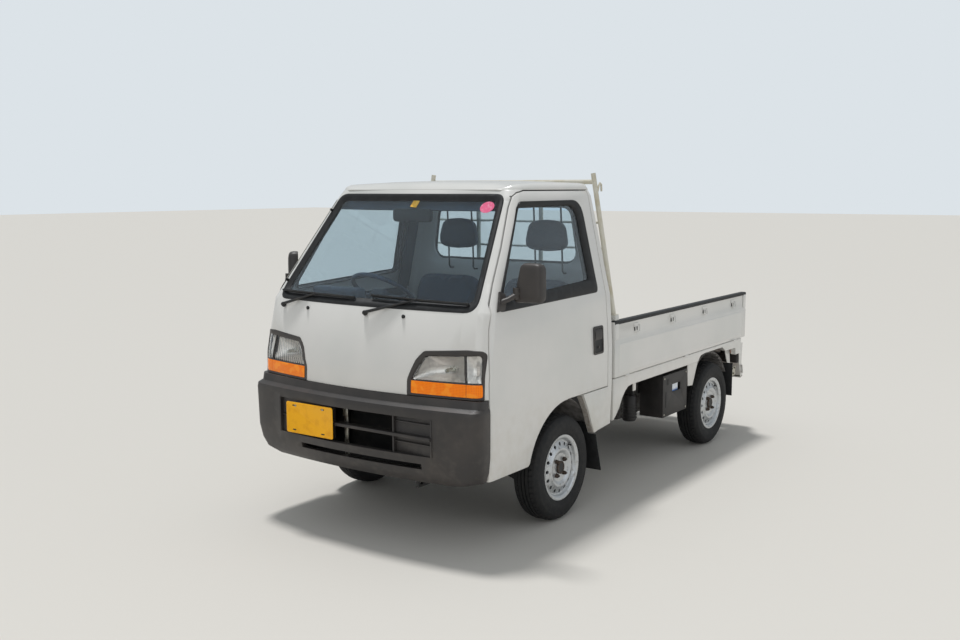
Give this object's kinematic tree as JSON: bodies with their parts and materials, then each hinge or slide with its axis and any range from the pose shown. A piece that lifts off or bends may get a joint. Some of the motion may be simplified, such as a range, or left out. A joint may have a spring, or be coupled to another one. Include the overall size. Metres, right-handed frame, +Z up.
{
  "type": "kei truck",
  "caption": "White kei truck with a hollow two-seat cab, opening doors, steering, rolling wheels and a drop-side bed.",
  "frame": {"origin": "on the ground, on the centreline, half way along the truck as it stands, with its tailgate hanging", "axes": "front faces -Y, +X is the vehicle's left, +Z up"},
  "size_m": [1.6561, 3.3848, 1.7349],
  "materials": {
    "white_paint": "gloss",
    "cream_paint": "satin",
    "dark_floor": "matte",
    "grey_plastic": "matte",
    "interior_plastic": "matte",
    "seat_fabric": "matte",
    "glass": "gloss",
    "lamp_lens": "gloss",
    "red_lens": "gloss",
    "plate_yellow": "satin",
    "chassis_steel": "satin",
    "engine_metal": "matte",
    "exhaust_steel": "satin",
    "wheel_steel": "satin",
    "tyre": "matte",
    "black_rubber": "matte"
  },
  "bodies": {
    "truck": {"bed_floor": "white_paint", "bed_front_wall": "white_paint", "bed_side_rails": "white_paint", "cab_floor": "dark_floor", "cab_front_panel": "white_paint", "cab_rear_wall": "white_paint", "cab_roof": "white_paint", "cab_side_left": "white_paint", "cab_side_right": "white_paint", "dashboard": "interior_plastic", "engine": "engine_metal", "exhaust": "exhaust_steel", "frame": "chassis_steel", "front_bumper": "grey_plastic", "front_lamps": "lamp_lens", "front_plate": "plate_yellow", "front_suspension": "chassis_steel", "fuel_tank": "chassis_steel", "guard_frame": "cream_paint", "headrests": "seat_fabric", "leaf_springs": "chassis_steel", "mudflaps": "black_rubber", "rear_axle": "chassis_steel", "rear_bar": "chassis_steel", "rear_plate": "plate_yellow", "rear_window": "glass", "seats": "seat_fabric", "side_box": "grey_plastic", "steering_column": "interior_plastic", "tail_lamps": "red_lens", "wheelhouses": "grey_plastic", "windscreen": "glass"},
    "steering_wheel": {"steering_wheel": "interior_plastic"},
    "knuckle_left": {"knuckle_left": "chassis_steel"},
    "knuckle_right": {"knuckle_right": "chassis_steel"},
    "wheel_front_left": {"rim_front_left": "wheel_steel", "tyre_front_left": "tyre"},
    "wheel_front_right": {"rim_front_right": "wheel_steel", "tyre_front_right": "tyre"},
    "wheel_rear_left": {"rim_rear_left": "wheel_steel", "tyre_rear_left": "tyre"},
    "wheel_rear_right": {"rim_rear_right": "wheel_steel", "tyre_rear_right": "tyre"},
    "door_left_body": {"door_left": "white_paint", "door_glass_left": "glass", "mirror_left": "grey_plastic"},
    "door_right_body": {"door_right": "white_paint", "door_glass_right": "glass", "mirror_right": "grey_plastic"},
    "side_gate_left_body": {"side_gate_left": "white_paint"},
    "side_gate_right_body": {"side_gate_right": "white_paint"},
    "tailgate_body": {"tailgate": "white_paint"}
  },
  "joints": [
    {"name": "steering", "type": "hinge", "parent": "truck", "child": "steering_wheel", "pos_m": [-0.34, -1.018, 1.113], "axis": [0, 0.5736, 0.8192], "range_deg": [-630, 630]},
    {"name": "steer_left", "type": "hinge", "parent": "truck", "child": "knuckle_left", "pos_m": [0.52, -0.8425, 0.16], "axis": [-0.1766, 0, 0.9843], "range_deg": [-35, 35]},
    {"name": "steer_right", "type": "hinge", "parent": "truck", "child": "knuckle_right", "pos_m": [-0.52, -0.8425, 0.16], "axis": [0.1766, 0, 0.9843], "range_deg": [-35, 35]},
    {"name": "roll_front_left", "type": "hinge", "parent": "knuckle_left", "child": "wheel_front_left", "pos_m": [0.6025, -0.8425, 0.268], "axis": [1, 0, 0], "continuous": true},
    {"name": "roll_front_right", "type": "hinge", "parent": "knuckle_right", "child": "wheel_front_right", "pos_m": [-0.6025, -0.8425, 0.268], "axis": [1, 0, 0], "continuous": true},
    {"name": "roll_rear_left", "type": "hinge", "parent": "truck", "child": "wheel_rear_left", "pos_m": [0.6025, 1.0575, 0.268], "axis": [1, 0, 0], "continuous": true},
    {"name": "roll_rear_right", "type": "hinge", "parent": "truck", "child": "wheel_rear_right", "pos_m": [-0.6025, 1.0575, 0.268], "axis": [1, 0, 0], "continuous": true},
    {"name": "door_left_hinge", "type": "hinge", "parent": "truck", "child": "door_left_body", "pos_m": [0.7007, -1.513, 0.5], "axis": [0.0267, 0, -0.9996], "range_deg": [0, 70]},
    {"name": "door_right_hinge", "type": "hinge", "parent": "truck", "child": "door_right_body", "pos_m": [-0.7007, -1.513, 0.5], "axis": [0.0267, 0, 0.9996], "range_deg": [0, 70]},
    {"name": "gate_left_hinge", "type": "hinge", "parent": "truck", "child": "side_gate_left_body", "pos_m": [0.6975, 0.555, 0.647], "axis": [0, 1, 0], "range_deg": [0, 175]},
    {"name": "gate_right_hinge", "type": "hinge", "parent": "truck", "child": "side_gate_right_body", "pos_m": [-0.6975, 0.555, 0.647], "axis": [0, -1, 0], "range_deg": [0, 175]},
    {"name": "tailgate_hinge", "type": "hinge", "parent": "truck", "child": "tailgate_body", "pos_m": [0, 1.583, 0.643], "axis": [1, 0, 0], "range_deg": [0, 165]}
  ],
  "couplings": [
    {"joint": "steer_left", "follows": "steering", "ratio": 0.055556},
    {"joint": "steer_right", "follows": "steering", "ratio": 0.055556}
  ]
}
